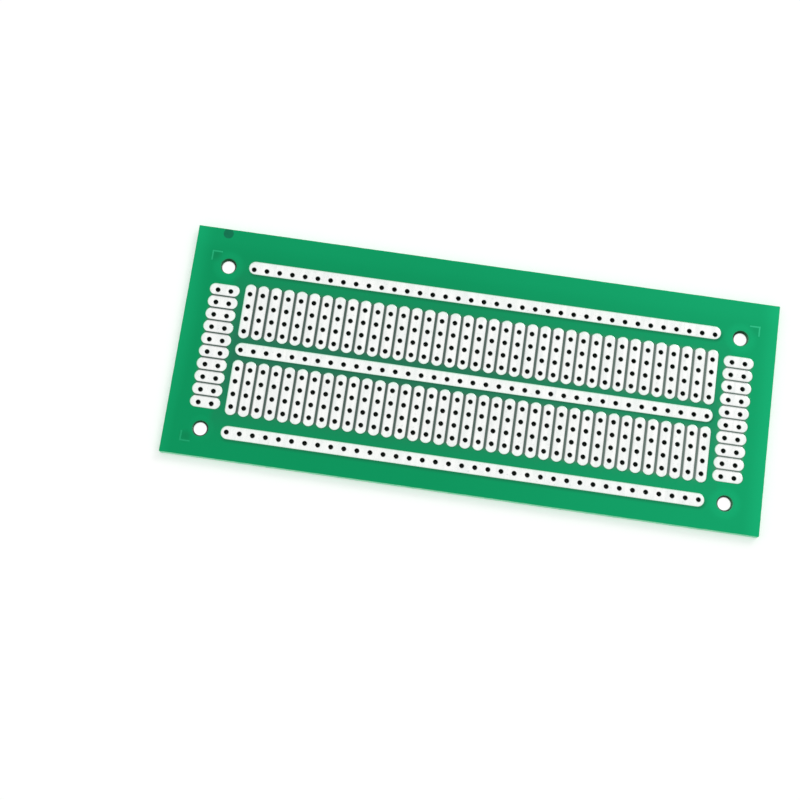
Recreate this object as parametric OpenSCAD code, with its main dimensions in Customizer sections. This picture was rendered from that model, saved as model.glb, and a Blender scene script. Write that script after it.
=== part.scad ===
// Prototype board with three long rails, two banks of short strips and a column of end pads
// at each side. The tinned tracks lie on the front face in openings of the green solder mask,
// and every lead hole is drilled through from face to face.
// The board lies flat, copper side up. The origin is at the middle of its underside.

/* [Hole grid] */
// Distance between neighbouring lead holes
pitch = 2.54; // [2.3:0.01:3.2]
// Number of lead holes along each rail, and of strips in each bank
columns = 37; // [6:1:60]
// Number of lead holes in each strip
strip_holes = 4; // [2:1:8]
// Number of lead holes in each end pad
pad_holes = 2; // [1:1:4]
// Number of end pads in each column
pads_per_side = 10; // [2:1:12]
// Pitches from the middle rail's holes to the nearest strip hole
inner_rows = 1.5; // [1.5:0.5:4]
// Pitches from an outer rail's holes to the nearest strip hole
outer_rows = 2; // [2:0.5:4]
// Pitches from the end column of strips to the middle of the end pads
pad_columns = 2; // [2:0.5:5]
// Diameter of a lead hole
lead_hole_d = 0.9; // [0.6:0.05:1.2]

/* [Board] */
// Thickness of the glass-epoxy laminate
laminate_t = 1.5; // [0.8:0.1:3]
// Thickness of the solder mask on each face
mask_t = 0.04; // [0.03:0.01:0.08]
// Distance from the end column of strip holes to the board's end
end_margin = 12.2; // [10:0.1:25]
// Distance from the top rail's holes to the board's top edge
top_margin = 7.6; // [4:0.1:20]
// Distance from the bottom rail's holes to the board's bottom edge
bottom_margin = 5.5; // [4:0.1:20]
// Radius of the board's corners
corner_r = 0.2; // [0.1:0.1:2]
// Diameter of a mounting hole, clear for an M3 screw
mounting_hole_d = 3.1; // [2.5:0.1:4]

/* [Tinned tracks] */
// Gap between neighbouring strips
strip_gap = 0.4; // [0.3:0.02:0.8]
// Gap between neighbouring end pads
pad_gap = 0.24; // [0.2:0.02:0.6]
// Width of a rail
rail_w = 2.65; // [1.8:0.05:3.2]
// Distance from a rail's last hole to the tip of the rail
rail_end = 1.12; // [1:0.02:1.6]
// Distance from a strip's last hole to the tip of the strip
strip_end = 1.75; // [1.2:0.05:2]
// Distance from an end pad's last hole to the tip of the pad
pad_end = 1.7; // [1.2:0.05:2.2]
// Thickness of a track at its edge
track_edge_t = 0.05; // [0.03:0.01:0.1]
// Rise of the solder crown over the track's edge
crown_h = 0.06; // [0.03:0.01:0.12]
// Clearance between a track and the edge of its mask opening
mask_gap = 0.04; // [0.02:0.01:0.06]
// Clearance between a mounting hole and the edge of the solder mask around it
mounting_mask_gap = 0.2; // [0.1:0.05:0.4]

/* [Print offsets] */
// Shift of the whole track print along the board, against the drilled holes
print_shift_x = 0.04; // [-0.1:0.01:0.1]
// Shift of the whole track print across the board, against the drilled holes
print_shift_y = 0.17; // [-0.2:0.01:0.2]
// Distance that each outer rail lies further out than its holes
rail_offset = 0.22; // [0:0.01:0.3]
// Distance that each bank of strips lies further out than its holes
strip_offset = 0.12; // [0:0.01:0.3]

/* [Marks] */
// Length of a corner mark's leg
mark_leg = 1.9; // [1:0.1:3]
// Width of a corner mark's line
mark_w = 0.3; // [0.2:0.05:0.5]
// Rise of a corner mark over the solder mask
mark_h = 0.03; // [0.02:0.01:0.06]
// Distance from a mounting hole to the corner mark beside it, along the board
mark_x = 3.5; // [3.3:0.1:5]
// Distance from a mounting hole to the corner mark beside it, across the board
mark_y = 2.75; // [2.6:0.05:3.5]
// Radius of the dark round spot at the top edge
spot_r = 1; // [0.5:0.05:1.5]
// Distance from the spot's middle to the board's left end
spot_x = 6; // [3:0.1:20]
// Distance from the spot's middle to the board's top edge
spot_y = 0.95; // [0.5:0.05:1.5]

/* [Hidden] */
function numbered(name, count) = [for (i = [1 : count]) str(name, i < 10 ? "_0" : "_", i)];

LEFT_PADS = numbered("left_end_pad", pads_per_side);
RIGHT_PADS = numbered("right_end_pad", pads_per_side);

$fn = 48;
// Length by which a cutting tool passes both faces
through = 1;

// Places of the lead holes, measured from the middle hole of the middle rail
grid_l = (columns - 1) * pitch;
strip_l = (strip_holes - 1) * pitch;
inner_y = inner_rows * pitch;
bank_y = inner_y + strip_l / 2;
rail_y = inner_y + strip_l + outer_rows * pitch;
pad_x = grid_l / 2 + pad_columns * pitch;
pad_l = (pad_holes - 1) * pitch;

column_x = [for (i = [0 : columns - 1]) i * pitch - grid_l / 2];
strip_hole_y = [for (i = [0 : strip_holes - 1]) i * pitch - strip_l / 2];
pad_hole_x = [for (i = [0 : pad_holes - 1]) i * pitch - pad_l / 2];
pad_row_y = [for (i = [0 : pads_per_side - 1]) ((pads_per_side - 1) / 2 - i) * pitch];

// Outline and levels of the board
board_l = grid_l + 2 * end_margin;
board_w = 2 * rail_y + top_margin + bottom_margin;
grid_y = (bottom_margin - top_margin) / 2;
laminate_z = mask_t;
front_z = laminate_z + laminate_t;

// Places of the tracks as printed, a little off their holes
function rail_print_y(side) = grid_y + print_shift_y + side * (rail_y + rail_offset);
function strip_print_y(side) = grid_y + print_shift_y + side * (bank_y + strip_offset);
function pad_print_y(row) = grid_y + print_shift_y + pad_row_y[row];

// Widths of the tracks, and their lengths between the centres of the round ends
track_h = track_edge_t + crown_h;
strip_w = pitch - strip_gap;
pad_w = pitch - pad_gap;
rail_span = grid_l + 2 * rail_end - rail_w;
strip_span = strip_l + 2 * strip_end - strip_w;
pad_span = pad_l + 2 * pad_end - pad_w;

laminate_colour = [0.80, 0.86, 0.66];
mask_colour = [0.05, 0.55, 0.36];
tin_colour = [0.93, 0.93, 0.91];
mark_colour = [0.45, 0.70, 0.58];
spot_colour = [0.03, 0.38, 0.28];

module board_outline() {
    difference() {
        square([board_l, board_w], center = true);
        for (end = [-1, 1], side = [-1, 1])
            translate([end * (board_l / 2 - corner_r), side * (board_w / 2 - corner_r)])
                difference() {
                    translate([min(0, end) * (corner_r + through), min(0, side) * (corner_r + through)])
                        square(corner_r + through);
                    circle(corner_r);
                }
    }
}

module mounting_holes(grow = 0) {
    for (end = [-1, 1], side = [-1, 1])
        translate([end * pad_x, grid_y + side * rail_y])
            circle(d = mounting_hole_d + 2 * grow);
}

module rail_holes(y) {
    for (x = column_x)
        translate([x, grid_y + y])
            circle(d = lead_hole_d);
}

module strip_holes(side, x) {
    for (y = strip_hole_y)
        translate([x, grid_y + side * bank_y + y])
            circle(d = lead_hole_d);
}

module pad_holes(end, row) {
    for (x = pad_hole_x)
        translate([end * pad_x + x, grid_y + pad_row_y[row]])
            circle(d = lead_hole_d);
}

module all_lead_holes() {
    for (y = [-rail_y, 0, rail_y])
        rail_holes(y);
    for (side = [-1, 1], x = column_x)
        strip_holes(side, x);
    for (end = [-1, 1], row = [0 : pads_per_side - 1])
        pad_holes(end, row);
}

// Long outline with full round ends, lying along X
module stadium(span, width) {
    square([span, width], center = true);
    for (end = [-1, 1])
        translate([end * span / 2, 0])
            circle(d = width);
}

// The three kinds of track outline at their printed places, each grown all round by a clearance
module rail_outline(side, grow) {
    translate([print_shift_x, rail_print_y(side)])
        stadium(rail_span, rail_w + 2 * grow);
}

module strip_outline(side, x, grow) {
    translate([x + print_shift_x, strip_print_y(side)])
        rotate(90)
            stadium(strip_span, strip_w + 2 * grow);
}

module pad_outline(end, row, grow) {
    translate([end * pad_x + print_shift_x, pad_print_y(row)])
        stadium(pad_span, pad_w + 2 * grow);
}

// Corner mark with its corner at the origin and its legs along +X and -Y
module corner_mark_outline(end, side) {
    translate([end * (pad_x + mark_x), grid_y + side * (rail_y + mark_y)])
        mirror([end > 0 ? 1 : 0, 0])
            mirror([0, side < 0 ? 1 : 0]) {
                translate([-mark_w / 2, -mark_w / 2])
                    square([mark_leg + mark_w / 2, mark_w]);
                translate([-mark_w / 2, -mark_leg])
                    square([mark_w, mark_leg + mark_w / 2]);
            }
}

module spot_outline() {
    intersection() {
        translate([spot_x - board_l / 2, board_w / 2 - spot_y])
            circle(spot_r);
        board_outline();
    }
}

// Section across a track: square sides under a low round crown
module track_section(width) {
    crown_r = (width * width / 4 + crown_h * crown_h) / (2 * crown_h);
    intersection() {
        translate([-width / 2, 0])
            square([width, track_h]);
        translate([0, track_h - crown_r])
            circle(crown_r, $fn = 360);
    }
}

// A tinned track lying along X, with the crown carried round its ends
module crowned_track(span, width) {
    rotate([90, 0, 90])
        linear_extrude(span, center = true)
            track_section(width);
    for (end = [-1, 1])
        translate([end * span / 2, 0, 0])
            rotate(-90 * end)
                rotate_extrude(angle = 180, $fn = 96)
                    intersection() {
                        track_section(width);
                        square([width, track_h]);
                    }
}

// A track over the front face of the laminate, drilled along with it
module drilled_track(x, y, turn, span, width) {
    difference() {
        translate([x, y, front_z])
            rotate(turn)
                crowned_track(span, width);
        translate([0, 0, front_z - through])
            linear_extrude(track_h + 2 * through)
                children();
    }
}

module laminate() {
    color(laminate_colour)
        translate([0, 0, laminate_z])
            linear_extrude(laminate_t)
                difference() {
                    board_outline();
                    mounting_holes();
                    all_lead_holes();
                }
}

module front_solder_mask() {
    color(mask_colour)
        translate([0, 0, front_z])
            linear_extrude(mask_t)
                difference() {
                    board_outline();
                    mounting_holes(mounting_mask_gap);
                    for (side = [-1, 0, 1])
                        rail_outline(side, mask_gap);
                    for (side = [-1, 1], x = column_x)
                        strip_outline(side, x, mask_gap);
                    for (end = [-1, 1], row = [0 : pads_per_side - 1])
                        pad_outline(end, row, mask_gap);
                    corner_mark_outline(-1, 1);
                    corner_mark_outline(1, 1);
                    corner_mark_outline(-1, -1);
                    spot_outline();
                }
}

module back_solder_mask() {
    color(mask_colour)
        linear_extrude(mask_t)
            difference() {
                board_outline();
                mounting_holes(mounting_mask_gap);
                all_lead_holes();
            }
}

module rail(side) {
    color(tin_colour)
        drilled_track(print_shift_x, rail_print_y(side), 0, rail_span, rail_w)
            rail_holes(side * rail_y);
}

module strips(side) {
    color(tin_colour)
        for (x = column_x)
            drilled_track(x + print_shift_x, strip_print_y(side), 90, strip_span, strip_w)
                strip_holes(side, x);
}

module end_pad(end, row) {
    color(tin_colour)
        drilled_track(end * pad_x + print_shift_x, pad_print_y(row), 0, pad_span, pad_w)
            pad_holes(end, row);
}

module corner_mark(end, side) {
    color(mark_colour)
        translate([0, 0, front_z])
            linear_extrude(mask_t + mark_h)
                corner_mark_outline(end, side);
}

module edge_spot() {
    color(spot_colour)
        translate([0, 0, front_z])
            linear_extrude(mask_t)
                spot_outline();
}

laminate();
front_solder_mask();
back_solder_mask();
rail(1);  // top_rail
rail(0);  // middle_rail
rail(-1);  // bottom_rail
strips(1);  // upper_strips
strips(-1);  // lower_strips
corner_mark(-1, 1);  // upper_left_corner_mark
corner_mark(1, 1);  // upper_right_corner_mark
corner_mark(-1, -1);  // lower_left_corner_mark
edge_spot();
for (row = [0 : pads_per_side - 1]) {
    end_pad(-1, row);
    end_pad(1, row);
}
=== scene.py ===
"""Looks of a prototype board: tinned tracks, green solder mask and drilled laminate.

Sizes are in millimetres until a mesh is made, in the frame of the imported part: X along the
board, Y across it, Z up, with the origin at the middle of the underside.
"""
import math
from collections import namedtuple

import bpy
from mathutils import Matrix, Vector, noise
from mathutils.geometry import delaunay_2d_cdt


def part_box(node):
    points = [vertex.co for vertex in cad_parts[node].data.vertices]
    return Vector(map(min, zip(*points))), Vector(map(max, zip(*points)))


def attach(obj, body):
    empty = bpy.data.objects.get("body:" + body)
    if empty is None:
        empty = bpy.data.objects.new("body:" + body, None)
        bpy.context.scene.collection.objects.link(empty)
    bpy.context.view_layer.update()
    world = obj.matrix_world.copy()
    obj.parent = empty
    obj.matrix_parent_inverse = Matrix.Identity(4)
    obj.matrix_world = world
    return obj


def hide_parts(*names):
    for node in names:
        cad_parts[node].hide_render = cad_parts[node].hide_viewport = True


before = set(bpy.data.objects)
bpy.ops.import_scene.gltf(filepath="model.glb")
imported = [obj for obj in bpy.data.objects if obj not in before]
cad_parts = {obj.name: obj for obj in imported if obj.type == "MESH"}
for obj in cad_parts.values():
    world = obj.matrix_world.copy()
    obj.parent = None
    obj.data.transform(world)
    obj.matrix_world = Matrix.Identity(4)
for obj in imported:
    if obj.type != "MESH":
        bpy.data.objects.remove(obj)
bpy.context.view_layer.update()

MM = 0.001


def box_mm(node):
    """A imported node's lowest and highest corners in millimetres."""
    low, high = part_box(node)
    return low / MM, high / MM


# Levels and outline, from the frame
board_low, board_high = box_mm("laminate")
BACK_Z = board_low.z
FRONT_Z = board_high.z
MASK_T = box_mm("front_solder_mask")[1].z - FRONT_Z
TRACK_H = box_mm("top_rail")[1].z - FRONT_Z
BOARD_L = board_high.x - board_low.x
BOARD_W = board_high.y - board_low.y

# Hole grid
PITCH = 2.54
COLUMNS = 37
STRIP_HOLES = 4
PAD_ROWS = 10
GRID_Y = -1.05
BANK_Y = 3 * PITCH
RAIL_Y = 6.5 * PITCH
PAD_X = (COLUMNS - 1) / 2 * PITCH + 2 * PITCH
LEAD_R = 0.45
MOUNT_R = 1.55

COLUMN_X = [(i - (COLUMNS - 1) / 2) * PITCH for i in range(COLUMNS)]
STRIP_HOLE_Y = [(i - (STRIP_HOLES - 1) / 2) * PITCH for i in range(STRIP_HOLES)]
PAD_ROW_Y = [((PAD_ROWS - 1) / 2 - i) * PITCH for i in range(PAD_ROWS)]

# Sheared edge: the corners, the distance between points, how far in it lies and how unevenly
CORNER_R = 0.2
CORNER_STEPS = 6
SHEAR_STEP = 0.8
SHEAR_DEPTH = 0.022
SHEAR_ROUGHNESS = 0.026

# Unevenness of the shear in two sizes: waves a millimetre, layer of the noise, weight
SHEAR_WAVES = [(0.9, 3.1, 1.0), (2.7, 8.4, 0.5)]

# Solder
TRACK_EDGE_T = 0.05
CROWN_H = TRACK_H - TRACK_EDGE_T

# Mask: its clearance round tracks, the print's slip, and its openings round mounting holes
MASK_GAP = 0.025
MASK_SLIP = Vector((0.01, -0.01))
MOUNT_LIP_GAP = 0.01
BACK_MOUNT_GAP = 0.2
BACK_RIM_H = 0.014

# Tone of the painted shadow on the thin web between two tracks, how dark the painted shade on
# a pad's flank is beside another pad, how fast this shade fades round a track's end, and how
# much of the web's width one lip takes
WEB_TONE = 0.04
PAD_FLANK = 0.7
FACING_POWER = 6
LIP_SHARE = 0.46

# Tone of the painted shade on a mounting hole's wall, which rises to 2 on its darkest side
BORE_TONE = 1.6

# Corner marks and the spot
MARK_W = 0.3
SPOT_EDGE_GAP = 0.07
SPOT_LIFT = 0.006

# Sides of a track for the painted shade: the flank that falls away from the light, and the lit
# side of an opening
SHADED_FLANK = Vector((-0.9, 0.9))
LIT_SIDE = Vector((0.5, -0.87))

# Points on round edges, and on a track's straight sides for each pitch
HOLE_POINTS = 24
BACK_HOLE_POINTS = 16
TRACK_POINTS = 32
MOUNT_POINTS = 64
SPOT_POINTS = 48
POINTS_PER_PITCH = 2

# Places of a track's extra points between two holes, as shares of the way
BETWEEN_HOLES = (0.35, 0.5, 0.65)

# Distance within which the triangulation joins points
JOIN = 1e-7

# Decimals of a millimetre at which two points count as one
WELD_DECIMALS = 6


# Loops: lists of (point, direction out of the material), anticlockwise


def circle_hole(centre, radius, count):
    """The edge of a round hole."""
    loop = []
    for i in range(count):
        a = math.tau * i / count
        d = Vector((math.cos(a), math.sin(a)))
        loop.append((centre + radius * d, -d))
    return loop


def stadium(centre, length, width, along_x, grow=0.0, out=1):
    """An outline with full round ends. out is 1 for a solid's edge and -1 for an opening's."""
    radius = width / 2 + grow
    half_span = (length - width) / 2
    steps = max(2, round(2 * half_span / PITCH * POINTS_PER_PITCH))
    half_turn = TRACK_POINTS // 2
    loop = []
    for end in (1, -1):
        for i in range(half_turn + 1):
            a = math.pi * (i / half_turn - 0.5)
            d = Vector((math.cos(a), math.sin(a))) * end
            loop.append((Vector((end * half_span, 0)) + radius * d, d))
        side = Vector((0, end))
        for i in range(1, steps):
            x = end * half_span * (1 - 2 * i / steps)
            loop.append((Vector((x, 0)) + radius * side, side))
    if not along_x:
        loop = [(Vector((-p.y, p.x)), Vector((-d.y, d.x))) for p, d in loop]
    return [(p + centre, out * d) for p, d in loop]


def unevenness(p):
    """Smooth noise at a place on the outline."""
    return sum(weight * noise.noise(Vector((p.x * waves, p.y * waves, layer)))
               for waves, layer, weight in SHEAR_WAVES)


def sheared_outline():
    """The board's outline: straight sides with the small unevenness of a sheared edge."""
    reach = Vector((BOARD_L / 2 - CORNER_R, BOARD_W / 2 - CORNER_R))
    corners = [(1, -1, -90), (1, 1, 0), (-1, 1, 90), (-1, -1, 180)]
    loop = []
    for n, (sx, sy, start) in enumerate(corners):
        centre = Vector((sx * reach.x, sy * reach.y))
        for i in range(CORNER_STEPS + 1):
            a = math.radians(start + 90 / CORNER_STEPS * i)
            d = Vector((math.cos(a), math.sin(a)))
            loop.append((centre + CORNER_R * d, d))
        nx, ny, _ = corners[(n + 1) % 4]
        target = Vector((nx * reach.x, ny * reach.y))
        # The corner's last direction is also that of the side that follows
        count = round((target - centre).length / SHEAR_STEP)
        for i in range(1, count):
            p = centre.lerp(target, i / count) + CORNER_R * d
            loop.append((p - (SHEAR_DEPTH + SHEAR_ROUGHNESS * unevenness(p)) * d, d))
    return loop


def inside(point, polygon):
    """True if the point lies in the polygon."""
    hit = False
    for a, b in zip(polygon, polygon[1:] + polygon[:1]):
        if (a.y > point.y) != (b.y > point.y):
            if point.x < a.x + (point.y - a.y) * (b.x - a.x) / (b.y - a.y):
                hit = not hit
    return hit


# Mesh building


class Plate:
    """A thin piece whose edges climb a profile from a base level to a surface.

    A profile is a list of (inset, share, drop, tone): the ring lies inset from the loop, at
    that share of the way from base to surface, lowered by drop. The tone is a number, or a
    function of the direction out of the material, and goes into the attribute "tone".
    """

    def __init__(self, base, surface):
        self.base = base
        self.surface = surface
        self.verts = []
        self.tones = []
        self.faces = []
        self.feet = []
        self.up = surface(Vector((0, 0))) > base

    def level(self, p, share, drop):
        """The Z of a point at a share of the way to the surface."""
        z = self.base + share * (self.surface(p) - self.base)
        return z - drop if self.up else z + drop

    def add_faces(self, faces):
        """Adds faces, which are given as they are on a plate whose surface faces up."""
        self.faces += faces if self.up else [tuple(reversed(f)) for f in faces]

    def ring(self, loop, inset, share, drop, tone):
        """Adds one ring of points, and returns their numbers."""
        start = len(self.verts)
        for p, out in loop:
            q = p - inset * out
            self.verts.append((q.x, q.y, self.level(q, share, drop)))
            self.tones.append(tone(out) if callable(tone) else tone)
        return list(range(start, len(self.verts)))

    def edge(self, loop, profile):
        """Adds the rings of one edge with the faces between them, and returns the last ring."""
        (p0, out0), (p1, _) = loop[:2]
        step = p1 - p0
        solid_side = step.x * out0.y - step.y * out0.x < 0
        last = None
        for entry in profile:
            ring = self.ring(loop, *entry)
            if last is None:
                self.feet.append(ring)
            else:
                n = len(ring)
                quads = [(last[i], last[(i + 1) % n], ring[(i + 1) % n], ring[i]) for i in range(n)]
                if not solid_side:
                    quads = [tuple(reversed(q)) for q in quads]
                self.add_faces(quads)
            last = ring
        return last

    def close(self):
        """Fills between the first rings of the edges, on the side of the base."""
        self.cap(self.feet[0], self.feet[1:], flip=True)

    def cap(self, outer, holes, extra=(), flip=False):
        """Fills between the outer ring and the holes' rings, through the extra points."""
        loops = [outer] + holes
        index = [i for ring in loops for i in ring]
        owner = [n for n, ring in enumerate(loops) for _ in ring]
        points = [Vector(self.verts[i][:2]) for i in index]
        border = points[:len(outer)]
        edges = []
        start = 0
        for ring in loops:
            n = len(ring)
            edges += [(start + i, start + (i + 1) % n) for i in range(n)]
            start += n
        for p in extra:
            index.append(len(self.verts))
            owner.append(None)
            points.append(p)
            self.verts.append((p.x, p.y, self.level(p, 1, 0)))
            self.tones.append(1.0)
        _, _, triangles, origin, _, _ = delaunay_2d_cdt(points, edges, [], 0, JOIN)
        kept = []
        for triangle in triangles:
            corners = [origin[i][0] for i in triangle]
            owners = {owner[i] for i in corners}
            if len(owners) == 1 and None not in owners:
                # All on one ring: in a hole, or in a hollow of the outer ring
                middle = sum((points[i] for i in corners), Vector((0, 0))) / 3
                if owners != {0} or not inside(middle, border):
                    continue
            face = [index[i] for i in corners]
            kept.append(tuple(reversed(face)) if flip else tuple(face))
        self.add_faces(kept)


def make_object(name, plates, material, sharp_deg=50):
    """One mesh object in metres from plates, welded where they meet.

    It is shaded smooth up to the sharp angle.
    """
    verts, faces, tones = [], [], []
    places = {}
    for plate in plates:
        own = []
        for vert, tone in zip(plate.verts, plate.tones):
            key = tuple(round(v, WELD_DECIMALS) for v in vert)
            if key not in places:
                places[key] = len(verts)
                verts.append(tuple(v * MM for v in vert))
                tones.append(tone)
            own.append(places[key])
        faces += [tuple(own[i] for i in f) for f in plate.faces]
    mesh = bpy.data.meshes.new(name)
    mesh.from_pydata(verts, [], faces)
    mesh.update()
    attribute = mesh.attributes.new("tone", "FLOAT", "POINT")
    attribute.data.foreach_set("value", tones)
    mesh.polygons.foreach_set("use_smooth", [True] * len(mesh.polygons))
    mesh.set_sharp_from_angle(angle=math.radians(sharp_deg))
    mesh.materials.append(material)
    obj = bpy.data.objects.new(name, mesh)
    bpy.context.scene.collection.objects.link(obj)
    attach(obj, "root")
    return obj


# Materials


def srgb(r, g, b):
    """Linear colour from 0 to 255 screen values."""
    def linear(v):
        v /= 255
        return v / 12.92 if v <= 0.04045 else ((v + 0.055) / 1.055) ** 2.4
    return (linear(r), linear(g), linear(b), 1.0)


class Shader:
    """A material's node tree, with short calls to add nodes."""

    def __init__(self, name):
        self.material = bpy.data.materials.new(name)
        self.material.use_nodes = True
        self.tree = self.material.node_tree
        self.main = self.tree.nodes["Principled BSDF"]
        self.coords = self.add("ShaderNodeTexCoord").outputs["Object"]

    def fill(self, socket, value):
        """Links a socket into the input, or sets the input to a plain value."""
        if isinstance(value, bpy.types.NodeSocket):
            self.tree.links.new(value, socket)
        else:
            socket.default_value = value

    def add(self, kind, settings=None, **inputs):
        """Adds a node. An input's name has _ for a space, and _0 stands for the first input."""
        node = self.tree.nodes.new(kind)
        for key, value in (settings or {}).items():
            setattr(node, key, value)
        for key, value in inputs.items():
            place = int(key[1:]) if key[0] == "_" else key.replace("_", " ")
            self.fill(node.inputs[place], value)
        return node

    def math(self, operation, a, b=0.0, clamp=False):
        """The result of one operation."""
        n = self.add("ShaderNodeMath", {"operation": operation, "use_clamp": clamp}, _0=a, _1=b)
        return n.outputs[0]

    def scaled(self, value, factor, offset=0.0):
        """value * factor + offset."""
        n = self.add("ShaderNodeMath", {"operation": "MULTIPLY_ADD"}, _0=value, _1=factor, _2=offset)
        return n.outputs[0]

    def total(self, *values):
        """The sum of the values."""
        result = values[0]
        for value in values[1:]:
            result = self.math("ADD", result, value)
        return result

    def span(self, value, low, high):
        """0 at low and 1 at high, smooth between."""
        n = self.add("ShaderNodeMapRange", {"interpolation_type": "SMOOTHSTEP"},
                     Value=value, From_Min=low, From_Max=high)
        return n.outputs["Result"]

    def span_mm(self, place, low, high):
        """The span of a place in metres, between two places in millimetres."""
        return self.span(place, low * MM, high * MM)

    def mix(self, factor, a, b):
        """Colour a at factor 0 and colour b at factor 1."""
        n = self.add("ShaderNodeMix", {"data_type": "RGBA"}, _0=factor, _6=a, _7=b)
        return n.outputs[2]

    def noise(self, cells, detail=2.0, stretch=None):
        """Noise of that many cells a metre, times the stretch in each direction."""
        vector = self.coords
        if stretch:
            vector = self.add("ShaderNodeMapping", Vector=vector, Scale=stretch).outputs[0]
        n = self.add("ShaderNodeTexNoise", Vector=vector, Scale=cells, Detail=detail)
        return n.outputs["Fac"]

    def bands(self, direction, scale, distortion):
        """Soft bands across one direction."""
        n = self.add("ShaderNodeTexWave", {"bands_direction": direction}, Vector=self.coords,
                     Scale=scale, Distortion=distortion, Detail=1.0)
        return n.outputs["Fac"]

    def place(self):
        """The object's X, Y and Z coordinates, in metres."""
        n = self.add("ShaderNodeSeparateXYZ", Vector=self.coords)
        return n.outputs["X"], n.outputs["Y"], n.outputs["Z"]

    def distance(self, x, y, place_x, place_y):
        """Distance in metres from the nearest of four points, in millimetres.

        They lie at place_x and place_y on both sides of the grid's middle.
        """
        dx = self.math("SUBTRACT", self.math("ABSOLUTE", x), place_x * MM)
        off_y = self.math("ABSOLUTE", self.math("SUBTRACT", y, GRID_Y * MM))
        dy = self.math("SUBTRACT", off_y, place_y * MM)
        squared = self.math("ADD", self.math("MULTIPLY", dx, dx), self.math("MULTIPLY", dy, dy))
        return self.math("SQRT", squared)

    def tone(self):
        """The tone that the mesh carries."""
        return self.add("ShaderNodeAttribute", {"attribute_name": "tone"}).outputs["Fac"]

    def relief(self, height, strength, depth, normal=None):
        """A normal bent by the height, with a depth in millimetres, on top of another."""
        inputs = {"Height": height, "Strength": strength, "Distance": depth * MM}
        if normal:
            inputs["Normal"] = normal
        return self.add("ShaderNodeBump", **inputs).outputs["Normal"]

    def set(self, **inputs):
        """Fills the shader's inputs, and returns the material."""
        for key, value in inputs.items():
            self.fill(self.main.inputs[key.replace("_", " ")], value)
        return self.material


# Mask colours: margins, their brightest as painted sheen, between tracks, darker as painted
# shade, the painted shadow inside the corner marks, the lip of an opening darkened by painted
# shade, the painted shadow of the web between two tracks at the left and at the right, lighter
# at the right as painted light, the back's middle, and the palest of a corner mark: the paler
# mask over its copper line, with a painted highlight
MASK_GREEN = srgb(4, 148, 90)
MASK_SHEEN = srgb(20, 184, 120)
MASK_DEEP = srgb(36, 112, 82)
MASK_SHADE = srgb(16, 96, 58)
MASK_LIP = srgb(24, 78, 56)
MASK_WEB = srgb(84, 90, 89)
MASK_WEB_RIGHT = srgb(122, 128, 126)
BACK_MIDDLE = srgb(6, 138, 84)
MARK_PALE = srgb(52, 200, 142)

# Colour and strength of the mask's gloss
GLOSS_TINT = (0.12, 0.9, 0.5, 1.0)
MASK_GLOSS = 0.4

# Spans in millimetres over which the mask's painted sheen and shade change: from the middle row
# outwards, beside the strips, at the ends, along the board, at the top, towards the lower left
# corner, round a mounting hole, round the painted shadow inside a corner mark, and towards the
# corner without a mark
ACROSS_SPAN = (1.0, 20.5)
BESIDE_SPAN = (46.5, 50.0)
END_SPAN = (54.0, 58.0)
ALONG_SPAN = (-20.0, 75.0)
TOP_SPAN = (17.5, 21.5)
LOWER_LEFT_SPAN = (-45.0, -80.0)
HALO_SPAN = (3.6, 2.2)
MARK_SHADE_SPAN = (1.7, 0.2)
UNMARKED_SPAN = (60.0, 56.0)
UNMARKED_SLOPE = -2.0

# The place of the painted shadow inside a corner mark, out from the mounting hole, and the
# strength of this shadow
MARK_SHADE_X = 2.6
MARK_SHADE_Y = 1.85
MARK_SHADE = 0.32

# What the spans, the clouds in it and a corner mark add to the mask's brightness: the spans a
# painted sheen, brighter towards the ends, the right, the top and round the mounting holes and
# darker towards the lower left, the clouds a random tone, and a corner mark its paler green
# with a painted highlight
BRIGHT_BASE = -0.05
END_GAIN = 0.36
ALONG_GAIN = 0.46
TOP_GAIN = 0.14
LOWER_LEFT_GAIN = -0.2
CLOUD_GAIN = 0.14
HALO_GAIN = 0.2
MARK_GAIN = 0.5

# Textures of the mask, in cells a metre
CLOUD_CELLS = 55.0
GLOSS_CELLS = 400.0
PEEL_CELLS = 2600.0
WEAVE_SCALE = 330.0
WEAVE_DISTORTION = 1.5

# Range and least value of the mask's roughness, and its reliefs: strength, and depth in
# millimetres
MASK_ROUGHNESS = (0.08, 0.275)
WEAVE_RELIEF = (0.12, 0.02)
PEEL_RELIEF = (0.25, 0.02)


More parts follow.
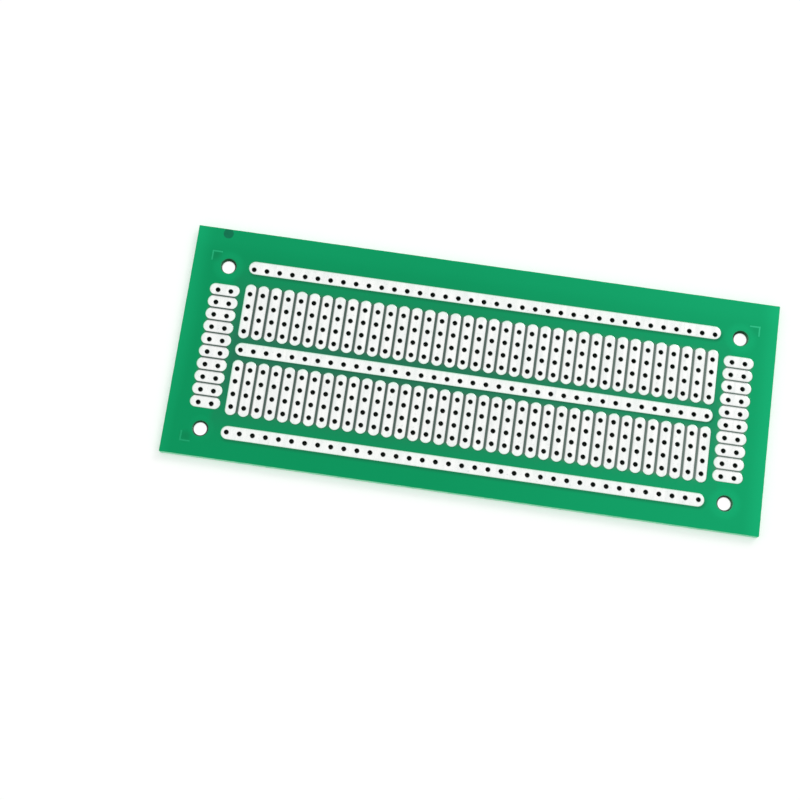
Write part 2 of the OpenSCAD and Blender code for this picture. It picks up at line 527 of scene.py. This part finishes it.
def mask_material(name, top=MASK_SHEEN, lift=0.0, deep=MASK_DEEP):
    """Glossy green solder mask with painted sheen and shade: paler towards the board's edges, the
    right and the top, dark against the tracks and inside the corner marks.

    The tone is 0 on the painted shadow of the web between two tracks, 1 on the mask and 2 on
    an opening's lip darkened by painted shade.
    """
    s = Shader(name)
    x, y, _ = s.place()
    off_x = s.math("ABSOLUTE", x)
    off_y = s.math("ABSOLUTE", s.math("SUBTRACT", y, GRID_Y * MM))
    # Painted shade among the tracks, giving way to the plain margins
    across = s.math("MAXIMUM", s.span_mm(off_y, *ACROSS_SPAN), s.span_mm(off_x, *BESIDE_SPAN))
    along = s.span_mm(x, *ALONG_SPAN)
    lower_left = s.span_mm(s.math("ADD", x, y), *LOWER_LEFT_SPAN)
    halo = s.span_mm(s.distance(x, y, PAD_X, RAIL_Y), *HALO_SPAN)
    # Painted sheen: brighter towards the ends, the right, the top and round the mounting holes,
    # darker towards the lower left, with clouds of random tone
    bright = s.total(
        s.scaled(s.span_mm(off_x, *END_SPAN), END_GAIN),
        s.scaled(along, ALONG_GAIN),
        s.scaled(s.span_mm(y, *TOP_SPAN), TOP_GAIN),
        s.scaled(lower_left, LOWER_LEFT_GAIN),
        s.scaled(s.noise(CLOUD_CELLS, detail=3.0), CLOUD_GAIN),
        s.scaled(halo, HALO_GAIN),
    )
    bright = s.math("ADD", bright, BRIGHT_BASE + lift, clamp=True)
    # Painted shadow inside each corner mark, left out at the corner that has no mark
    in_mark = s.distance(x, y, PAD_X + MARK_SHADE_X, RAIL_Y + MARK_SHADE_Y)
    marked = s.span_mm(s.math("ADD", x, s.scaled(y, UNMARKED_SLOPE)), *UNMARKED_SPAN)
    shade = s.math("MULTIPLY", s.span_mm(in_mark, *MARK_SHADE_SPAN), marked)
    body = s.mix(across, deep, MASK_GREEN)
    body = s.mix(s.scaled(shade, MARK_SHADE), body, MASK_SHADE)
    body = s.mix(bright, body, top)
    tone = s.tone()
    colour = s.mix(tone, s.mix(along, MASK_WEB, MASK_WEB_RIGHT), body)
    colour = s.mix(s.math("SUBTRACT", tone, 1.0), colour, MASK_LIP)
    weave_x, weave_y = (s.bands(direction, WEAVE_SCALE, WEAVE_DISTORTION) for direction in "XY")
    normal = s.relief(s.math("MULTIPLY", weave_x, weave_y), *WEAVE_RELIEF)
    normal = s.relief(s.noise(PEEL_CELLS), *PEEL_RELIEF, normal)
    rough = s.scaled(s.noise(GLOSS_CELLS), *MASK_ROUGHNESS)
    return s.set(Base_Color=colour, Roughness=rough, Normal=normal,
                 Specular_IOR_Level=MASK_GLOSS, Specular_Tint=GLOSS_TINT)


# Tin colours: dull and bright streaks, ripples, pits, the painted shade on the edge of a track
# or a hole at the left and at the right, lighter at the right as painted light, and the mask's
# green on a track's shoulder, partly the mask's edge over the tin and partly a painted
# reflection of the mask
TIN_DULL = srgb(241, 244, 242)
TIN_BRIGHT = srgb(251, 252, 250)
TIN_RIPPLE = srgb(234, 238, 238)
TIN_PIT = srgb(196, 200, 200)
TIN_EDGE = srgb(96, 110, 103)
TIN_EDGE_RIGHT = srgb(136, 148, 142)
TIN_WASH = srgb(120, 205, 164)

# Textures of the tin, in cells a metre
STREAK_CELLS = 1500.0
STREAK_STRETCH = (1.0, 0.14, 1.0)
RIPPLE_CELLS = 520.0
GRAIN_CELLS = 5200.0
PIT_CELLS = 2300.0

# Levels of the noise between which streaks turn bright, ripples turn dark and pits open, and
# how much of their colour ripples and pits show
STREAK_SPAN = (0.32, 0.68)
RIPPLE_SPAN = (0.55, 0.75)
PIT_SPAN = (0.36, 0.27)
RIPPLE_SHARE = 0.4
PIT_SHARE = 0.5

# Roughness of the tin, what streaks and pits add to it, and its reliefs: strength, and depth in
# millimetres
TIN_ROUGHNESS = 0.2
STREAK_ROUGHNESS = 0.16
PIT_ROUGHNESS = 0.15
RIPPLE_RELIEF = (0.45, 0.04)
STREAK_RELIEF = (0.3, 0.02)
GRAIN_RELIEF = (0.16, 0.01)


def tin_material():
    """Bright tinned copper: hot-air levelled solder with streaks, ripples and a rim of painted
    shade, darker on the flank that falls away from the light.

    The tone is 0 on an edge darkened by painted shade, 1 on the track and 2 where the mask's
    green shows on it, partly as a painted reflection of the mask.
    """
    s = Shader("tinned_copper")
    streak = s.noise(STREAK_CELLS, detail=3.0, stretch=STREAK_STRETCH)
    ripple = s.noise(RIPPLE_CELLS, detail=3.0)
    pits = s.span(s.noise(PIT_CELLS), *PIT_SPAN)
    body = s.mix(s.span(streak, *STREAK_SPAN), TIN_DULL, TIN_BRIGHT)
    body = s.mix(s.scaled(s.span(ripple, *RIPPLE_SPAN), RIPPLE_SHARE), body, TIN_RIPPLE)
    body = s.mix(s.scaled(pits, PIT_SHARE), body, TIN_PIT)
    tone = s.tone()
    x, _, _ = s.place()
    # The dark edge is painted shade, lighter towards the right as painted light
    edge = s.mix(s.span_mm(x, *ALONG_SPAN), TIN_EDGE, TIN_EDGE_RIGHT)
    colour = s.mix(s.math("SUBTRACT", tone, 1.0), s.mix(tone, edge, body), TIN_WASH)
    normal = s.relief(ripple, *RIPPLE_RELIEF)
    normal = s.relief(streak, *STREAK_RELIEF, normal)
    normal = s.relief(s.noise(GRAIN_CELLS), *GRAIN_RELIEF, normal)
    rough = s.total(s.scaled(streak, STREAK_ROUGHNESS, TIN_ROUGHNESS), s.scaled(pits, PIT_ROUGHNESS))
    return s.set(Base_Color=colour, Roughness=rough, Normal=normal, Metallic=1.0)


# Laminate colours: its layers, pale threads and torn glass at the edge, and the walls of the
# lead holes and of the mounting holes, which are darkened by painted shade
LAYER_GREEN = srgb(96, 222, 164)
LAYER_PALE = srgb(150, 242, 200)
THREAD_PALE = srgb(214, 244, 212)
TORN_PALE = srgb(206, 238, 204)
WALL_DARK = srgb(44, 62, 52)
WALL_GREY = srgb(62, 84, 70)
BORE_GREEN = srgb(4, 80, 44)

# Textures of the laminate, in cells a metre
LAYER_CELLS = 480.0
LAYER_STRETCH = (1.0, 1.0, 17.0)
THREAD_CELLS = 1500.0
THREAD_STRETCH = (1.0, 1.0, 9.0)
TEAR_CELLS = 2600.0
TEAR_STRETCH = (1.0, 1.0, 0.35)

# Heights in millimetres between which the edge turns from cut to torn, and how much of the
# tear's relief the cut part has
TORN_SPAN = (0.95, 0.60)
CUT_TEAR = 0.35

# Levels of the noise between which layers and threads turn pale and the tear shows, and how
# much of their colour threads and tear show
LAYER_SPAN = (0.36, 0.64)
THREAD_SPAN = (0.56, 0.70)
TEAR_SPAN = (0.40, 0.62)
THREAD_SHARE = 0.65
TORN_SHARE = 0.55

# Gloss and roughness of the laminate, what the tear and a mounting hole's wall add to the
# roughness, and its reliefs: strength, and depth in millimetres
LAMINATE_GLOSS = 0.35
LAMINATE_ROUGHNESS = 0.5
TEAR_ROUGHNESS = 0.25
BORE_ROUGHNESS = 0.4
LAYER_RELIEF = (0.35, 0.03)
TEAR_RELIEF = (0.6, 0.06)


def laminate_material():
    """Glass-epoxy: pale green layered edge, and drilled holes darkened by painted shade.

    The tone is 0 on a lead hole's wall, 1 on the edge and up to 2 on a mounting hole's wall.
    """
    s = Shader("laminate")
    layers = s.noise(LAYER_CELLS, stretch=LAYER_STRETCH)
    threads = s.noise(THREAD_CELLS, stretch=THREAD_STRETCH)
    tear = s.noise(TEAR_CELLS, detail=4.0, stretch=TEAR_STRETCH)
    _, _, height = s.place()
    torn = s.span_mm(height, *TORN_SPAN)
    pale = s.mix(s.span(layers, *LAYER_SPAN), LAYER_GREEN, LAYER_PALE)
    pale = s.mix(s.scaled(s.span(threads, *THREAD_SPAN), THREAD_SHARE), pale, THREAD_PALE)
    ragged = s.math("MULTIPLY", torn, s.span(tear, *TEAR_SPAN))
    pale = s.mix(s.scaled(ragged, TORN_SHARE), pale, TORN_PALE)
    tone = s.tone()
    wall = s.mix(threads, WALL_DARK, WALL_GREY)
    colour = s.mix(s.math("SUBTRACT", tone, 1.0), s.mix(tone, wall, pale), BORE_GREEN)
    torn_height = s.math("MULTIPLY", tear, s.math("ADD", torn, CUT_TEAR))
    normal = s.relief(layers, *LAYER_RELIEF)
    normal = s.relief(torn_height, *TEAR_RELIEF, normal)
    rough = s.scaled(tear, TEAR_ROUGHNESS, LAMINATE_ROUGHNESS)
    bore = s.span(tone, 1.0, BORE_TONE)
    rough = s.math("ADD", rough, s.scaled(bore, BORE_ROUGHNESS), clamp=True)
    return s.set(Base_Color=colour, Roughness=rough, Normal=normal,
                 Specular_IOR_Level=LAMINATE_GLOSS)


# Colours of the spot, its texture in cells a metre, its roughness, and its relief's strength and
# depth in millimetres
SPOT_DARK = srgb(12, 104, 72)
SPOT_GREEN = srgb(20, 122, 84)
SPOT_CELLS = 900.0
SPOT_ROUGHNESS = 0.4
SPOT_RELIEF = (0.2, 0.02)


def spot_material():
    """A darker, teal green dab under the mask's gloss."""
    s = Shader("dark_spot")
    colour = s.mix(s.noise(SPOT_CELLS), SPOT_DARK, SPOT_GREEN)
    normal = s.relief(s.noise(PEEL_CELLS), *SPOT_RELIEF)
    return s.set(Base_Color=colour, Roughness=SPOT_ROUGHNESS, Normal=normal,
                 Specular_IOR_Level=MASK_GLOSS, Specular_Tint=GLOSS_TINT)


MASK = mask_material("solder_mask")
BACK_MASK = mask_material("back_mask", deep=BACK_MIDDLE)
# Corner marks: the paler green of mask over copper, with a painted highlight on the raised line
MARK = mask_material("corner_mark", top=MARK_PALE, lift=MARK_GAIN)
TIN = tin_material()
LAMINATE = laminate_material()
SPOT = spot_material()


# Lead holes and tracks, placed as on the real grid

Track = namedtuple("Track", "centre length width along_x holes")

RAILS = {"top_rail": 1, "middle_rail": 0, "bottom_rail": -1}
BANKS = {"upper_strips": 1, "lower_strips": -1}
PADS = {f"{side}_end_pad_{row + 1:02d}": (end, row)
        for side, end in (("left", -1), ("right", 1)) for row in range(PAD_ROWS)}


def rail_holes(side):
    """The holes of the rail on that side of the middle."""
    return [Vector((x, GRID_Y + side * RAIL_Y)) for x in COLUMN_X]


def strip_holes(side, x):
    """The holes of one strip of a bank."""
    return [Vector((x, GRID_Y + side * BANK_Y + y)) for y in STRIP_HOLE_Y]


def pad_holes(end, row):
    """The two holes of an end pad."""
    return [Vector((end * PAD_X + dx * PITCH, GRID_Y + PAD_ROW_Y[row])) for dx in (-0.5, 0.5)]


def node_tracks(node):
    """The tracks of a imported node."""
    low, high = box_mm(node)
    centre = Vector(((low.x + high.x) / 2, (low.y + high.y) / 2))
    if node in RAILS:
        return [Track(centre, high.x - low.x, high.y - low.y, True, rail_holes(RAILS[node]))]
    if node in PADS:
        return [Track(centre, high.x - low.x, high.y - low.y, True, pad_holes(*PADS[node]))]
    width = high.x - low.x - (COLUMNS - 1) * PITCH
    tracks = []
    for x in COLUMN_X:
        place = Vector((centre.x + x, centre.y))
        tracks.append(Track(place, high.y - low.y, width, False, strip_holes(BANKS[node], x)))
    return tracks


TRACKS = {node: node_tracks(node) for node in [*RAILS, *BANKS, *PADS]}
LEAD_HOLES = [hole for tracks in TRACKS.values() for track in tracks for hole in track.holes]
MOUNTING_HOLES = [Vector((end * PAD_X, GRID_Y + side * RAIL_Y))
                  for end in (-1, 1) for side in (-1, 1)]


def neighbour_sides(node, number):
    """The sides, -1 and 1, on which a track has another close beside it."""
    if node in RAILS:
        return ()
    if node in PADS:
        last, number = PAD_ROWS - 1, PAD_ROWS - 1 - PADS[node][1]
    else:
        last = COLUMNS - 1
    return tuple(side for side in (-1, 1) if 0 <= number + side <= last)


def facing(out, along_x, neighbours):
    """How squarely an edge faces a neighbouring track, from 0 to 1."""
    towards = out.y if along_x else out.x
    beside = 1 if towards > 0 else -1
    return abs(towards) ** FACING_POWER if beside in neighbours else 0.0


def rim_tone(lit, shaded):
    """A tone on tin, which differs between flanks that face the light and away from it."""
    def tone(out):
        return lit + (shaded - lit) * min(1.0, max(0.0, out.dot(SHADED_FLANK)))
    return tone


def flank_tone(dark, wash, along_x, neighbours):
    """A tone on a track's shoulder, from pairs for the lit and the shaded flank.

    dark holds the painted shade beside a neighbour, and wash is how much mask green shows
    elsewhere, partly as a painted reflection of the mask.
    """
    def tone(out):
        beside = rim_tone(*dark)(out)
        if along_x:
            beside = 1 - (1 - beside) * PAD_FLANK
        free = 1 + rim_tone(*wash)(out)
        return free + (beside - free) * facing(out, along_x, neighbours)
    return tone


# Rings of a track's shoulder: inset, share of the height, drop, and its pairs of tones for the
# lit and the shaded flank: the painted shade beside a neighbour, and the mask green elsewhere
SHOULDER = [
    (0.0, 0, 0.0, (0.0, 0.0), (1.0, 1.0)),
    (0.0, 1, 0.022, (0.2, 0.0), (1.0, 1.0)),
    (0.012, 1, 0.007, (0.4, 0.05), (0.6, 0.9)),
    (0.04, 1, 0.0, (0.62, 0.12), (0.45, 0.85)),
    (0.1, 1, 0.0, (0.8, 0.28), (0.25, 0.6)),
    (0.17, 1, 0.0, (0.93, 0.62), (0.1, 0.3)),
    (0.25, 1, 0.0, (1.0, 0.95), (0.03, 0.08)),
]

# Rings of a lead hole's rim, with the tones of the painted shade on its lit and its shaded side
RIM = [
    (0.0, 0, 0.0, (0.0, 0.0)),
    (0.0, 1, 0.03, (0.1, 0.0)),
    (0.015, 1, 0.012, (0.35, 0.05)),
    (0.05, 1, 0.0, (0.8, 0.25)),
    (0.1, 1, 0.0, (0.97, 0.65)),
    (0.15, 1, 0.0, (1.0, 1.0)),
]


def crowned_track(track, neighbours):
    """One tinned track: square foil edge, round-shouldered solder crown, drilled holes."""
    centre, length, width, along_x, holes = track
    half_span = (length - width) / 2
    axis = Vector((1, 0)) if along_x else Vector((0, 1))

    def surface(p):
        d = p - centre
        t = max(-half_span, min(half_span, d.dot(axis)))
        off = (d - t * axis).length / (width / 2)
        return FRONT_Z + TRACK_EDGE_T + CROWN_H * max(0.0, 1 - off * off)

    plate = Plate(FRONT_Z, surface)
    shoulder = [(inset, share, drop, flank_tone(dark, wash, along_x, neighbours))
                for inset, share, drop, dark, wash in SHOULDER]
    outer = plate.edge(stadium(centre, length, width, along_x), shoulder)
    rim = [(inset, share, drop, rim_tone(*tones)) for inset, share, drop, tones in RIM]
    rims = [plate.edge(circle_hole(hole, LEAD_R, HOLE_POINTS), rim) for hole in holes]
    between = [a.lerp(b, share) for a, b in zip(holes, holes[1:]) for share in BETWEEN_HOLES]
    plate.cap(outer, rims, between)
    plate.close()
    return plate


def build_tracks():
    """Rails, strips and end pads, one object for each node."""
    for node, tracks in TRACKS.items():
        plates = [crowned_track(track, neighbour_sides(node, n)) for n, track in enumerate(tracks)]
        piece = make_object("tinned_" + node, plates, TIN)
        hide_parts(node)


# Rings of a mask opening's lip: inset, share of the height, drop, and how dark its painted
# shade is on the lit and on the shaded side. Each way to end it fits the room that the mask has
# there
LIP_START = [
    (0.0, 0, 0.0, (0.6, 0.8)),
    (0.0, 1, 0.012, (0.15, 0.45)),
    (0.02, 1, 0.002, (0.15, 0.45)),
    (0.07, 1, -0.002, (0.05, 0.5)),
]
CLOSE_LIP = LIP_START + [(0.15, 1, 0.0, (0.0, 0.0))]
MIDDLE_RAIL_LIP = LIP_START + [
    (0.16, 1, 0.0, (0.0, 0.5)),
    (0.28, 1, 0.0, (0.0, 0.32)),
    (0.42, 1, 0.0, (0.0, 0.0)),
]
OUTER_RAIL_LIP = LIP_START + [
    (0.16, 1, 0.0, (0.0, 0.5)),
    (0.28, 1, 0.0, (0.0, 0.42)),
    (0.45, 1, 0.0, (0.0, 0.2)),
    (0.75, 1, 0.0, (0.0, 0.0)),
]

# Rings of the front mask at the board's edge and at a mounting hole, whose lip is a little
# darker at the hole's edge as painted shade
FRONT_SIDE = [
    (0.0, 0, 0.0, 1.0),
    (0.0, 1, 0.015, 1.0),
    (0.02, 1, 0.004, 1.0),
    (0.06, 1, 0.0, 1.0),
    (0.12, 1, 0.0, 1.0),
]
MOUNT_LIP = [
    (0.0, 0, 0.0, 0.8),
    (0.0, 0.1, 0.0, 0.8),
    (0.06, 0.45, 0.0, 0.9),
    (0.16, 0.85, 0.0, 1.0),
    (0.24, 1, 0.0, 1.0),
    (0.34, 1, -0.012, 1.0),
    (0.5, 1, -0.012, 1.0),
    (0.75, 1, 0.0, 1.0),
    (0.8, 1, 0.0, 1.0),
]


def lip_tone(lit, shaded):
    """A tone round an opening: how dark the painted shade on its lip is on the lit and the shaded
    side.
    """
    def tone(out):
        return 1 + lit + (shaded - lit) * max(0.0, -out.dot(LIT_SIDE))
    return tone


def web_tone(along_x, neighbours, full):
    """Painted shadow on the thin web beside a neighbouring track, and the full tone elsewhere."""
    def tone(out):
        here = full(out)
        return here - (here - WEB_TONE) * facing(-out, along_x, neighbours)
    return tone


def lip_profile(node, track, neighbours):
    """The lip of a track's opening, fitted to the web where another track is close."""
    if not neighbours:
        rings = MIDDLE_RAIL_LIP if node == "middle_rail" else OUTER_RAIL_LIP
        return [(inset, share, drop, lip_tone(*tones)) for inset, share, drop, tones in rings]
    web = PITCH - track.width - 2 * MASK_GAP
    widest = CLOSE_LIP[-1][0]
    scale = min(1.0, LIP_SHARE * web / widest)
    return [(inset * scale, share, drop, web_tone(track.along_x, neighbours, lip_tone(*tones)))
            for inset, share, drop, tones in CLOSE_LIP]


def build_front_mask():
    """The front skin of mask, with an opening at every track and mounting hole."""
    plate = Plate(FRONT_Z, lambda p: FRONT_Z + MASK_T)
    outer = plate.edge(sheared_outline(), FRONT_SIDE)
    holes = []
    for node, tracks in TRACKS.items():
        for n, track in enumerate(tracks):
            loop = stadium(track.centre + MASK_SLIP, track.length, track.width, track.along_x,
                           MASK_GAP, out=-1)
            holes.append(plate.edge(loop, lip_profile(node, track, neighbour_sides(node, n))))
    for hole in MOUNTING_HOLES:
        loop = circle_hole(hole, MOUNT_R + MOUNT_LIP_GAP, MOUNT_POINTS)
        holes.append(plate.edge(loop, MOUNT_LIP))
    plate.cap(outer, holes)
    plate.close()
    piece = make_object("front_mask_skin", [plate], MASK)
    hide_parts("front_solder_mask")


# Rings of the back mask at the board's edge, and at a hole with a raised rim, darker at the
# hole's edge as painted shade
BACK_SIDE = [
    (0.0, 0, 0.0, 1.0),
    (0.0, 1, 0.01, 1.0),
    (0.02, 1, 0.0, 1.0),
    (0.08, 1, 0.0, 1.0),
]
BACK_RIM = [
    (0.0, 0, 0.0, 0.3),
    (0.0, 1, -0.004, 0.8),
    (0.04, 1, -BACK_RIM_H, 1.0),
    (0.16, 1, -BACK_RIM_H, 1.0),
    (0.34, 1, 0.0, 1.0),
    (0.38, 1, 0.0, 1.0),
]


def build_back_mask():
    """The back skin of mask, which rises to the board's lowest level round every hole."""
    plate = Plate(BACK_Z, lambda p: BACK_RIM_H)
    outer = plate.edge(sheared_outline(), BACK_SIDE)
    loops = [circle_hole(hole, LEAD_R, BACK_HOLE_POINTS) for hole in LEAD_HOLES]
    loops += [circle_hole(hole, MOUNT_R + BACK_MOUNT_GAP, MOUNT_POINTS) for hole in MOUNTING_HOLES]
    plate.cap(outer, [plate.edge(loop, BACK_RIM) for loop in loops])
    plate.close()
    piece = make_object("back_mask_skin", [plate], BACK_MASK)
    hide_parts("back_solder_mask")


def bore_tone(out):
    """Painted shade, darkest on a mounting hole's wall that faces down the board."""
    return BORE_TONE + (2 - BORE_TONE) * max(0.0, -out.y)


# Rings of the laminate's edge, of a lead hole's wall and of a mounting hole's wall
CUT_SIDE = [(0.0, 0, 0.0, 1.0), (0.0, 0.6, 0.0, 1.0), (0.0, 1, 0.0, 1.0)]
LEAD_WALL = [(0.0, 0, 0.0, 0.0), (0.0, 1, 0.0, 0.0)]
BORE_WALL = [(0.0, 0, 0.0, bore_tone), (0.0, 1, 0.0, bore_tone)]


def build_laminate():
    """The drilled sheet, as two plates back to back that share the holes' walls."""
    middle = (BACK_Z + FRONT_Z) / 2
    plates = []
    for face in (FRONT_Z, BACK_Z):
        plate = Plate(middle, lambda p, face=face: face)
        outer = plate.edge(sheared_outline(), CUT_SIDE)
        holes = [plate.edge(circle_hole(hole, LEAD_R, HOLE_POINTS), LEAD_WALL)
                 for hole in LEAD_HOLES]
        holes += [plate.edge(circle_hole(hole, MOUNT_R, MOUNT_POINTS), BORE_WALL)
                  for hole in MOUNTING_HOLES]
        plate.cap(outer, holes)
        plates.append(plate)
    piece = make_object("drilled_laminate", plates, LAMINATE)
    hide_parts("laminate")


# Rings of a corner mark's and of the spot's edge
MARK_SIDE = [
    (0.0, 0, 0.0, 1.0),
    (0.0, 1, 0.03, 1.0),
    (0.04, 1, 0.008, 1.0),
    (0.08, 1, 0.0, 1.0),
]
SPOT_SIDE = [(0.0, 0, 0.0, 1.0), (0.0, 1, SPOT_LIFT, 1.0), (0.05, 1, 0.0, 1.0)]


def mark_outline(low, high, right, upper):
    """An L along two sides of the box, whose corner is the one nearest to the board's."""
    corner = Vector((high.x if right else low.x, high.y if upper else low.y))
    sx, sy = (-1 if right else 1), (-1 if upper else 1)
    leg_x, leg_y = high.x - low.x, high.y - low.y
    shape = [(0, 0), (leg_x, 0), (leg_x, MARK_W), (MARK_W, MARK_W), (MARK_W, leg_y), (0, leg_y)]
    points = [corner + Vector((sx * a, sy * b)) for a, b in shape]
    if sx * sy < 0:
        points.reverse()
    loop = []
    for i, p in enumerate(points):
        before = (p - points[i - 1]).normalized()
        after = (points[(i + 1) % len(points)] - p).normalized()
        loop.append((p, Vector((before.y, -before.x)) + Vector((after.y, -after.x))))
    return loop


def build_corner_mark(node):
    """A raised L of mask over a thin copper line, with rounded shoulders."""
    low, high = box_mm(node)
    loop = mark_outline(low, high, node.startswith("upper_right"), node.startswith("upper"))
    plate = Plate(FRONT_Z, lambda p: high.z)
    plate.cap(plate.edge(loop, MARK_SIDE), [])
    plate.close()
    piece = make_object("raised_" + node, [plate], MARK, sharp_deg=80)
    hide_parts(node)


def build_spot():
    """The dark dab at the top edge, cut by the board's edge."""
    low, high = box_mm("edge_spot")
    radius = (high.x - low.x) / 2
    centre = Vector(((low.x + high.x) / 2, low.y + radius))
    limit = BOARD_W / 2 - SPOT_EDGE_GAP
    loop = [(Vector((p.x, min(p.y, limit))), -inward)
            for p, inward in circle_hole(centre, radius, SPOT_POINTS)]
    plate = Plate(FRONT_Z, lambda p: FRONT_Z + MASK_T + SPOT_LIFT)
    plate.cap(plate.edge(loop, SPOT_SIDE), [])
    plate.close()
    piece = make_object("dark_edge_spot", [plate], SPOT)
    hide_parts("edge_spot")


build_tracks()
build_front_mask()
build_back_mask()
build_laminate()
for mark in ("upper_left_corner_mark", "upper_right_corner_mark", "lower_left_corner_mark"):
    build_corner_mark(mark)
build_spot()


# Stage: floor, light and camera

# Rays that show the white background: to the camera, and in metal and glass
SHOWING_RAYS = ("Is Camera Ray", "Is Glossy Ray", "Is Transmission Ray")

# Floor: its size, how far it lies below the board, its colours in the open and under the
# board, where it is a painted shadow, its roughness and its gloss
FLOOR_SIZE = 3000.0
FLOOR_DROP = 0.02
FLOOR_PALE = (0.93, 0.93, 0.925, 1.0)
FLOOR_SHADOW = (0.10, 0.11, 0.10, 1.0)
FLOOR_ROUGHNESS = 0.9
FLOOR_GLOSS = 0.1
WHITE = (1.0, 1.0, 1.0, 1.0)

# How far in from the board's edge the floor turns to painted shadow, and the painted light of
# the pale spot under each mounting hole, ringed by painted shadow: its edge, and how far out and
# up the board it lies from the hole's middle
DARK_INSET = 0.8
OPENING_SPAN = (1.38, 1.16)
OPENING_SHIFT = 0.2

# What the open floor adds for the rays that show the background, and what the pale spots add
# as painted light
FLOOR_GLOW = 0.16
OPENING_GLOW = 0.5

# World light at the horizon and overhead
WORLD_LOW = 0.44
WORLD_HIGH = 1.02

# Key light: the direction towards it, the angle that it fills and its strength
KEY_TOWARDS = (0.50, 0.70, 0.66)
KEY_SPREAD_DEG = 24
KEY_STRENGTH = 0.52

# Camera, fitted to the hole grid in the photo
CAMERA_PLACE = Vector((-7.58, -73.07, 294.2)) * MM
CAMERA_TARGET = Vector((-13.55, -6.1, 0)) * MM
CAMERA_HEADING = math.radians(8.16)
FOCAL_PX = 1550
FRAME_PX = 800
SENSOR_W = 36
CLIP_START = 10.0


def floor_material():
    """White paper with a painted shadow right under the board and painted light under the mounting
    holes, that glows for rays that show the background.
    """
    s = Shader("floor_paper")
    x, y, _ = s.place()
    half_l, half_w = BOARD_L / 2, BOARD_W / 2
    # Painted shadow under the board, except near its edges
    past_x = s.span_mm(s.math("ABSOLUTE", x), half_l - DARK_INSET, half_l)
    past_y = s.span_mm(s.math("ABSOLUTE", y), half_w - DARK_INSET, half_w)
    raised_y = s.math("SUBTRACT", y, OPENING_SHIFT * MM)
    # Painted light under each mounting hole, with painted shadow round it
    hole = s.span_mm(s.distance(x, raised_y, PAD_X + OPENING_SHIFT, RAIL_Y), *OPENING_SPAN)
    open_floor = s.math("MAXIMUM", s.math("MAXIMUM", past_x, past_y), hole)
    path = s.add("ShaderNodeLightPath")
    showing = path.outputs[SHOWING_RAYS[0]]
    for ray in SHOWING_RAYS[1:]:
        showing = s.math("MAXIMUM", showing, path.outputs[ray])
    seen = s.math("MULTIPLY", open_floor, showing)
    glow = s.math("MULTIPLY", seen, s.scaled(hole, OPENING_GLOW, FLOOR_GLOW))
    colour = s.mix(open_floor, FLOOR_SHADOW, FLOOR_PALE)
    return s.set(Base_Color=colour, Roughness=FLOOR_ROUGHNESS, Specular_IOR_Level=FLOOR_GLOSS,
                 Emission_Color=WHITE, Emission_Strength=glow)


def build_floor():
    """The floor, just below the board's underside."""
    half = FLOOR_SIZE / 2 * MM
    mesh = bpy.data.meshes.new("floor")
    corners = [(-half, -half, 0), (half, -half, 0), (half, half, 0), (-half, half, 0)]
    mesh.from_pydata(corners, [], [(0, 1, 2, 3)])
    mesh.materials.append(floor_material())
    obj = bpy.data.objects.new("floor", mesh)
    obj.location.z = -FLOOR_DROP * MM
    bpy.context.scene.collection.objects.link(obj)


def build_world():
    """Soft light all round, brighter overhead, that shows as white."""
    world = bpy.data.worlds.new("studio")
    world.use_nodes = True
    bpy.context.scene.world = world
    tree = world.node_tree
    background = tree.nodes["Background"]
    background.inputs["Color"].default_value = WHITE
    direction = tree.nodes.new("ShaderNodeTexCoord")
    height = tree.nodes.new("ShaderNodeSeparateXYZ")
    level = tree.nodes.new("ShaderNodeMapRange")
    level.inputs["To Min"].default_value = WORLD_LOW
    level.inputs["To Max"].default_value = WORLD_HIGH
    tree.links.new(direction.outputs["Generated"], height.inputs[0])
    tree.links.new(height.outputs["Z"], level.inputs["Value"])
    path = tree.nodes.new("ShaderNodeLightPath")
    strength = level.outputs["Result"]
    for ray in SHOWING_RAYS:
        brightest = tree.nodes.new("ShaderNodeMath")
        brightest.operation = "MAXIMUM"
        tree.links.new(strength, brightest.inputs[0])
        tree.links.new(path.outputs[ray], brightest.inputs[1])
        strength = brightest.outputs[0]
    tree.links.new(strength, background.inputs["Strength"])


def build_key():
    """A broad, far softbox that throws the soft shadow."""
    light = bpy.data.lights.new("key", "SUN")
    light.angle = math.radians(KEY_SPREAD_DEG)
    light.energy = KEY_STRENGTH
    obj = bpy.data.objects.new("key", light)
    obj.rotation_euler = Vector(KEY_TOWARDS).to_track_quat("Z", "Y").to_euler()
    bpy.context.scene.collection.objects.link(obj)


def build_camera():
    """The camera at the photo's angle."""
    data = bpy.data.cameras.new("camera")
    data.sensor_width = SENSOR_W
    data.lens = data.sensor_width * FOCAL_PX / FRAME_PX
    data.clip_start = CLIP_START * MM
    obj = bpy.data.objects.new("camera", data)
    forward = (CAMERA_TARGET - CAMERA_PLACE).normalized()
    hint = Vector((-math.sin(CAMERA_HEADING), math.cos(CAMERA_HEADING), 0))
    right = forward.cross(hint).normalized()
    up = right.cross(forward)
    turn = Matrix((right, up, -forward)).transposed().to_4x4()
    obj.matrix_world = Matrix.Translation(CAMERA_PLACE) @ turn
    bpy.context.scene.collection.objects.link(obj)
    bpy.context.scene.camera = obj


build_floor()
build_world()
build_key()
build_camera()
bpy.context.scene.view_settings.view_transform = "Standard"
